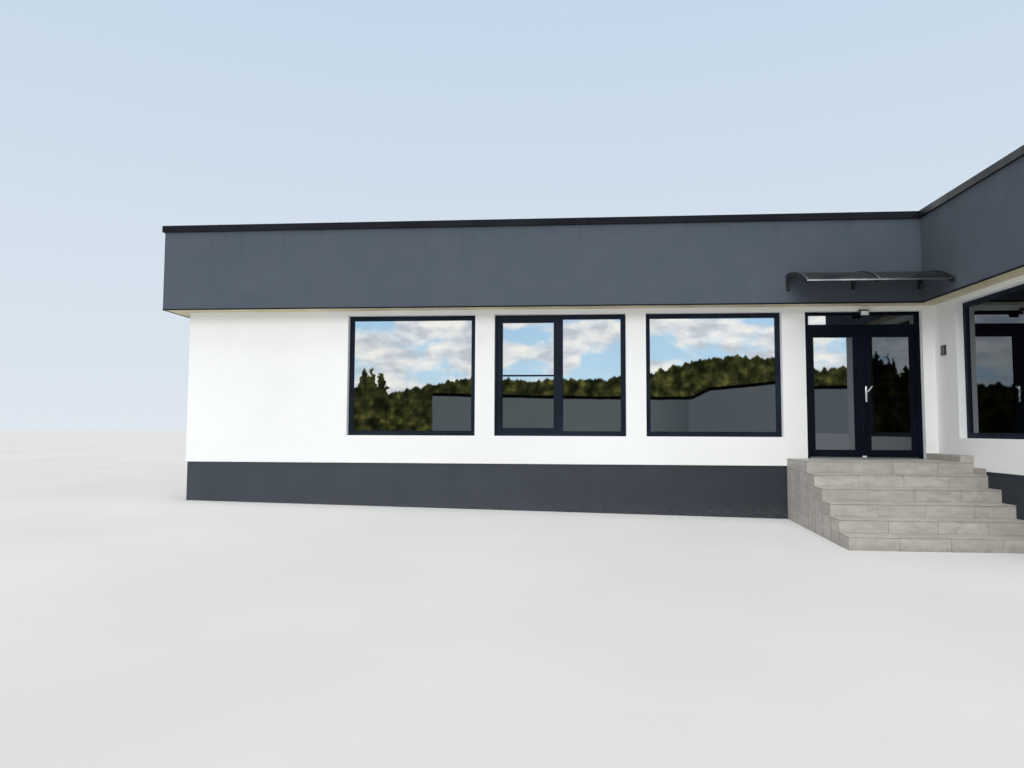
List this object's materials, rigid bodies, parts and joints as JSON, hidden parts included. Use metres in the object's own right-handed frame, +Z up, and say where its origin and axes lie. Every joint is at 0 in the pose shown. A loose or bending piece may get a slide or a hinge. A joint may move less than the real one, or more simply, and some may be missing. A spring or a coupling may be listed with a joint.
{
  "type": "single-storey house",
  "caption": "Flat-roofed L-shaped bungalow with white walls, a tall dark fascia, wide dark-framed windows, an arched door canopy, tiled steps and a glazed double door.",
  "frame": {"origin": "middle of the house's outline at the lowest ground level", "axes": "+X to the right along the main front, +Y into the house from the front, +Z up"},
  "size_m": [18.864, 12.069, 4.857],
  "materials": {
    "white_render": "fine float-finished white render",
    "dark_render": "fine dark grey render",
    "plinth_render": "dark grey plinth render",
    "concrete": "smooth screed",
    "roofing": "grey roofing membrane",
    "coping_metal": "satin coated folded sheet",
    "frame_paint": "anthracite powder coat",
    "glazing": "grey tinted reflective glass",
    "aluminium": "satin anodised",
    "steel": "brushed",
    "stone_tile": "matt porcelain stone tile",
    "canopy_sheet": "smoked polycarbonate",
    "black_plastic": "moulded black plastic"
  },
  "bodies": {
    "house": {"front_back_plinths": "plinth_render", "side_plinths": "plinth_render", "main_floor": "concrete", "wing_floor": "concrete", "front_back_sill_walls": "white_render", "side_sill_walls": "white_render", "front_back_piers": "white_render", "side_piers": "white_render", "front_back_lintels": "white_render", "side_lintels": "white_render", "doorway_base": "concrete", "main_roof_slab": "roofing", "wing_roof_slab": "roofing", "front_back_parapets": "dark_render", "side_parapets": "dark_render", "front_back_copings": "coping_metal", "side_copings": "coping_metal", "window_rails": "frame_paint", "window_stiles": "frame_paint", "window_glass": "glazing", "window_sashes": "frame_paint", "fly_screens": "frame_paint", "door_jambs": "frame_paint", "door_head_bars": "frame_paint", "door_threshold": "aluminium", "transom_glass": "glazing", "door_hinges": "frame_paint", "landing": "stone_tile", "step_1": "stone_tile", "step_2": "stone_tile", "step_3": "stone_tile", "step_4": "stone_tile", "step_5": "stone_tile", "landing_skirting": "stone_tile", "canopy_sheet": "canopy_sheet", "canopy_ribs": "aluminium", "canopy_front_rail": "aluminium", "canopy_brackets": "black_plastic", "entrance_light": "frame_paint", "bell_plate": "black_plastic"},
    "left_leaf": {"left_door_leaf": "frame_paint", "left_door_glass": "glazing"},
    "right_leaf": {"right_door_leaf": "frame_paint", "right_door_glass": "glazing", "door_handle": "steel"}
  },
  "joints": [
    {"name": "left_leaf_swing", "type": "hinge", "parent": "house", "child": "left_leaf", "pos_m": [1.167, -2.1265, 1.032], "axis": [0, 0, 1], "range_deg": [0, 90]},
    {"name": "right_leaf_swing", "type": "hinge", "parent": "house", "child": "right_leaf", "pos_m": [2.847, -2.1265, 1.032], "axis": [0, 0, -1], "range_deg": [0, 90]}
  ]
}
